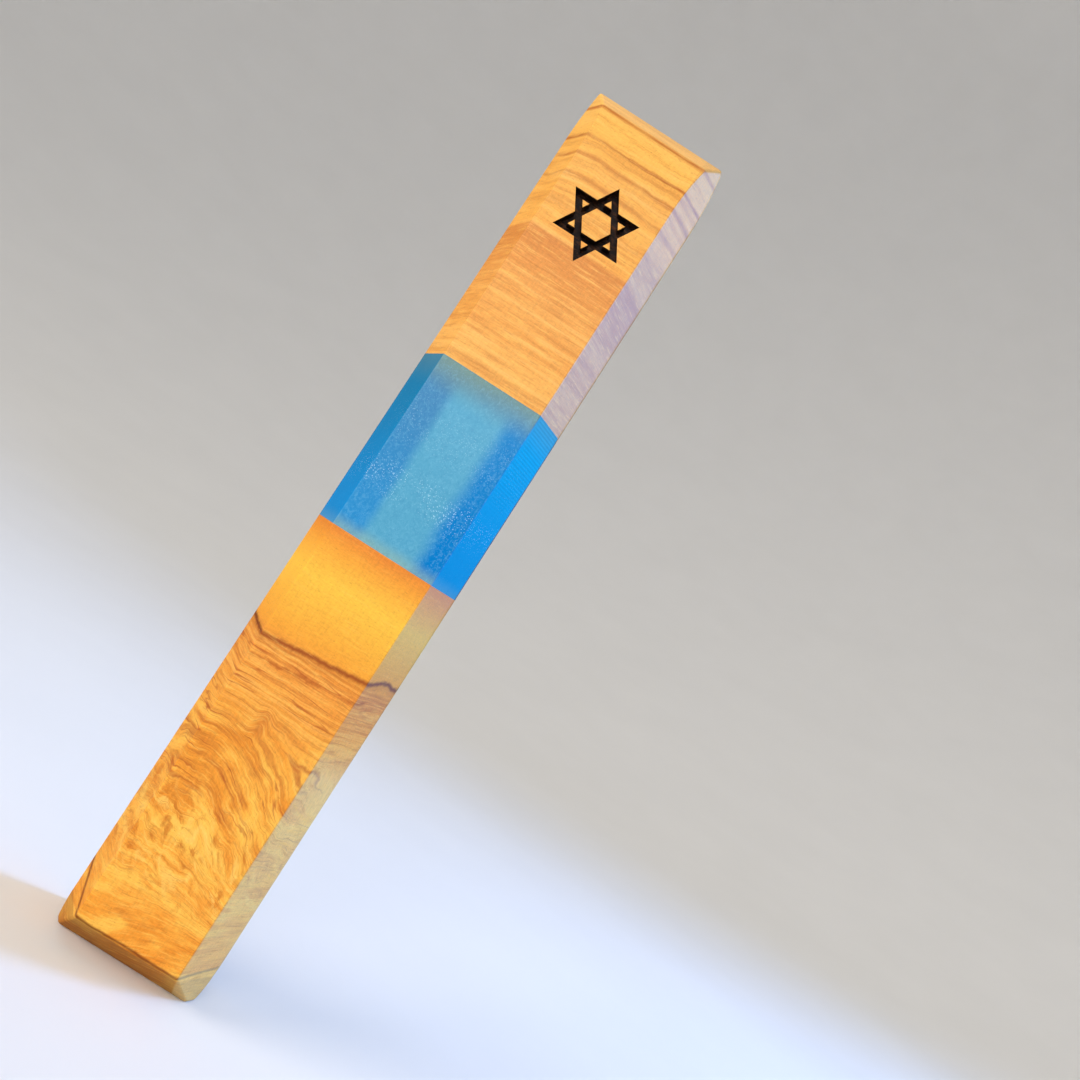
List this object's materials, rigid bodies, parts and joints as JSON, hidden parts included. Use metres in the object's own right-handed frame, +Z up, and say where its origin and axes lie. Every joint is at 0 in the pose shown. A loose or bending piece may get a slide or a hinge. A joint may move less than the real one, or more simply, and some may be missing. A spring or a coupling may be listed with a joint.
{
  "type": "mezuzah case",
  "caption": "Upright faceted doorpost case of wood and pearl resin, hollowed from the back for a rolled parchment, with a sliding dovetail cover and adhesive tape on its back.",
  "frame": {"origin": "middle of the back, on the doorpost's surface, halfway up the case", "axes": "+Z up along the length of the case, front facing -Y, back facing +Y, +X to the right as seen from the front"},
  "size_m": [0.0246, 0.0175, 0.15],
  "materials": {
    "olive_wood_light": "satin oiled, fine brown streaks across the front",
    "pearl_resin": "polished pearl blue, slightly translucent",
    "olive_wood_dark": "satin oiled, strong brown figure",
    "cover_wood": "matt sanded",
    "clear_plastic": "clear, glossy",
    "parchment": "matt, cream",
    "foam_tape": "matt white foam"
  },
  "bodies": {
    "case": {"upper_wood_block": "olive_wood_light", "resin_block": "pearl_resin", "lower_wood_block": "olive_wood_dark", "mounting_tape_left": "foam_tape", "mounting_tape_right": "foam_tape", "mounting_tape_lower": "foam_tape"},
    "cover": {"back_cover": "cover_wood"},
    "scroll": {"scroll_sleeve": "clear_plastic", "parchment_scroll": "parchment"}
  },
  "joints": [
    {"name": "cover_slide", "type": "slide", "parent": "case", "child": "cover", "axis": [0, 0, 1], "range_m": [0, 0.125]},
    {"name": "scroll_play", "type": "slide", "parent": "case", "child": "scroll", "axis": [0, 0, 1], "range_m": [0, 0.004]}
  ]
}
